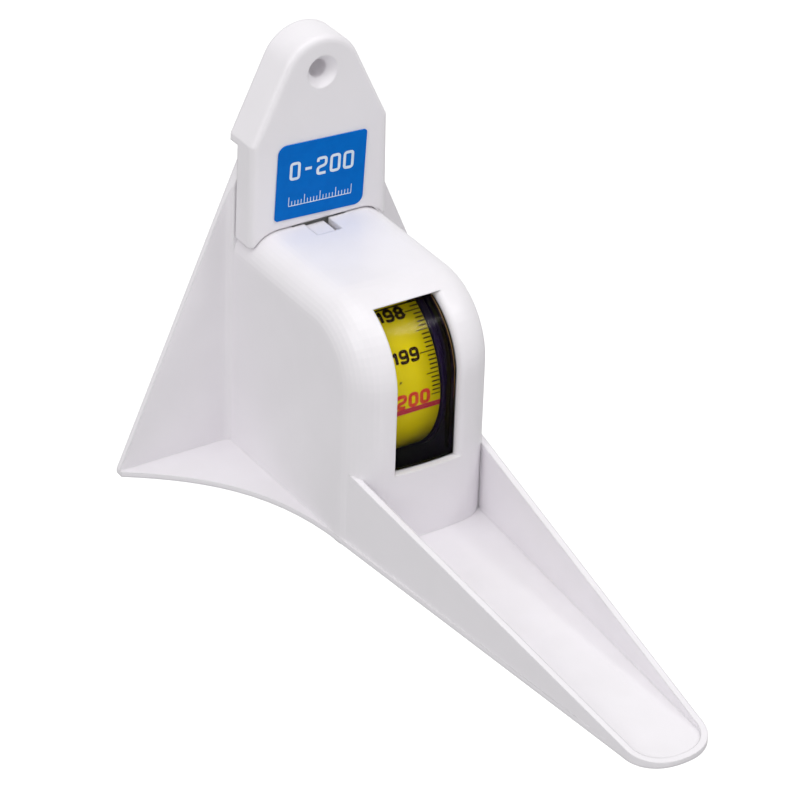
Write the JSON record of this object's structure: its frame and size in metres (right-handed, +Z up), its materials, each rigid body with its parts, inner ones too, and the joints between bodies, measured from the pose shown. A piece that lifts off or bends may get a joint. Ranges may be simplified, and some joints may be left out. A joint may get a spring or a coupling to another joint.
{
  "type": "wall stadiometer",
  "caption": "Wall-hung height gauge: a screwed hanger holds the end of a tape, and a head slide with a long arm, a window and a recoiling reel runs down the wall.",
  "frame": {"origin": "where the axis of the wall screw meets the wall", "axes": "+X to the right, -Y away from the wall towards the person in front, +Z up"},
  "size_m": [0.0942, 0.1558, 0.1038],
  "materials": {
    "white_abs": "gloss",
    "cover_abs": "satin",
    "dark_abs": "satin",
    "clear_acrylic": "clear",
    "label_blue": "satin",
    "tape_print": "satin",
    "tape_back": "satin",
    "steel": "satin",
    "spring_steel": "satin"
  },
  "bodies": {
    "hanger": {"hanger_shell": "white_abs", "label_plate": "label_blue", "tape_clamp": "steel", "tape_clamp_screw_1": "steel", "tape_clamp_screw_2": "steel", "tape_end": "tape_back", "tape_run": "tape_back"},
    "head_slide": {"head_slide_shell": "white_abs", "window_lens": "clear_acrylic", "rear_cover": "cover_abs", "rear_cover_screw_1": "steel", "rear_cover_screw_2": "steel", "rear_cover_screw_3": "steel", "rear_cover_screw_4": "steel", "cassette_left": "dark_abs", "cassette_right": "dark_abs", "cassette_screw_1": "steel", "cassette_screw_2": "steel", "arbor": "steel", "recoil_spring": "spring_steel"},
    "reel": {"reel_hub": "dark_abs", "reel_flange": "dark_abs", "tape_core": "tape_print", "tape_winding": "tape_print"}
  },
  "joints": [
    {"name": "slide_down", "type": "slide", "parent": "hanger", "child": "head_slide", "axis": [0, 0, -1], "range_m": [0, 2], "stiffness_N_per_m": 1, "springref_m": -4, "deforming": ["tape_run"]},
    {"name": "reel_spin", "type": "hinge", "parent": "head_slide", "child": "reel", "pos_m": [0, -0.03, -0.0632], "axis": [1, 0, 0], "range_deg": [0, 5790]}
  ],
  "couplings": [
    {"joint": "reel_spin", "follows": "slide_down", "rad_per_m": 50.5}
  ]
}
